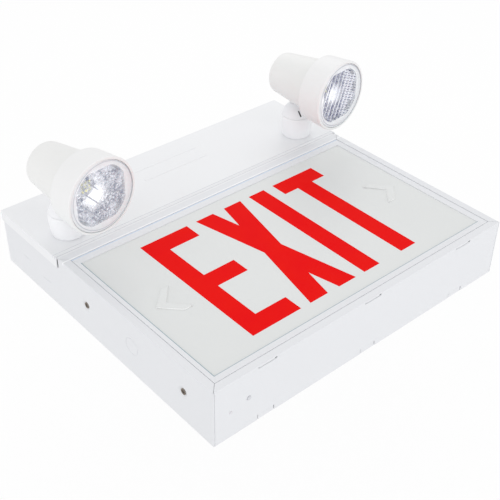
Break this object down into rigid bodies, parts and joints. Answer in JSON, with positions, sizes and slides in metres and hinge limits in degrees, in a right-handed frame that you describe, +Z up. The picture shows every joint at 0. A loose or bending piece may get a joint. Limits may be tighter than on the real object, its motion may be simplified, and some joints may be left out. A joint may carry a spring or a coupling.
{
  "type": "emergency exit light",
  "caption": "Steel wall-mounted emergency exit light with red letters on a framed panel and swivelling round lamp heads above it.",
  "frame": {"origin": "on the wall face of the back plate, at the centre of the wall holes", "axes": "+Z up the wall, -Y out of the wall towards the viewer, +X to the viewer's right"},
  "size_m": [0.4728, 0.21, 0.4182],
  "materials": {
    "white_steel": "satin powder coat",
    "frame_steel": "satin powder coat",
    "legend_white": "satin enamel",
    "tray_white": "gloss reflector white",
    "screw_steel": "bright zinc",
    "zinc_steel": "zinc plated",
    "core_steel": "varnished laminations",
    "red_plastic": "translucent red",
    "circuit_green": "solder mask",
    "battery_wrap": "shrink sleeve",
    "switch_black": "moulded",
    "button_grey": "moulded",
    "pilot_red": "frosted",
    "lamp_plastic": "fine texture",
    "bezel_plastic": "smooth",
    "lens_clear": "clear, with optics inside",
    "reflector_bright": "vacuum coated",
    "emitter_board": "metal-core board"
  },
  "bodies": {
    "sign": {"housing_shell": "white_steel", "lamp_cover": "white_steel", "back_plate": "white_steel", "side_screws": "screw_steel", "panel_frame": "frame_steel", "legend_panel": "legend_white", "red_diffuser": "red_plastic", "light_tray": "tray_white", "led_bar_bottom": "circuit_green", "led_bar_top": "circuit_green", "battery_pack": "battery_wrap", "battery_strap": "zinc_steel", "transformer": "core_steel", "charger_board": "circuit_green", "terminal_block": "switch_black", "test_switch": "switch_black", "pilot_light": "pilot_red", "left_lamp_base": "lamp_plastic", "left_lamp_nut": "zinc_steel", "right_lamp_base": "lamp_plastic", "right_lamp_nut": "zinc_steel"},
    "button": {"test_button": "button_grey"},
    "left_swivel": {"left_lamp_swivel": "lamp_plastic", "left_lamp_pin": "screw_steel"},
    "left_head": {"left_lamp_blade": "zinc_steel", "left_lamp_housing": "lamp_plastic", "left_lamp_bezel": "bezel_plastic", "left_lamp_lens": "lens_clear", "left_lamp_reflector": "reflector_bright", "left_lamp_emitter": "emitter_board"},
    "right_swivel": {"right_lamp_swivel": "lamp_plastic", "right_lamp_pin": "screw_steel"},
    "right_head": {"right_lamp_blade": "zinc_steel", "right_lamp_housing": "lamp_plastic", "right_lamp_bezel": "bezel_plastic", "right_lamp_lens": "lens_clear", "right_lamp_reflector": "reflector_bright", "right_lamp_emitter": "emitter_board"}
  },
  "joints": [
    {"name": "test_button_press", "type": "slide", "parent": "sign", "child": "button", "axis": [0, 0, 1], "range_m": [0, 0.002], "stiffness_N_per_m": 300, "springref_m": -0.002},
    {"name": "left_lamp_pan", "type": "hinge", "parent": "sign", "child": "left_swivel", "pos_m": [-0.1898, -0.0775, 0.1154], "axis": [0, -1, 0], "range_deg": [-170, 170]},
    {"name": "left_lamp_tilt", "type": "hinge", "parent": "left_swivel", "child": "left_head", "pos_m": [-0.1898, -0.1045, 0.1154], "axis": [-0.9942, 0, -0.108], "range_deg": [-25, 40]},
    {"name": "right_lamp_pan", "type": "hinge", "parent": "sign", "child": "right_swivel", "pos_m": [0.187, -0.0775, 0.1154], "axis": [0, -1, 0], "range_deg": [-170, 170]},
    {"name": "right_lamp_tilt", "type": "hinge", "parent": "right_swivel", "child": "right_head", "pos_m": [0.187, -0.1045, 0.1154], "axis": [-0.9942, 0, -0.108], "range_deg": [-25, 40]}
  ]
}
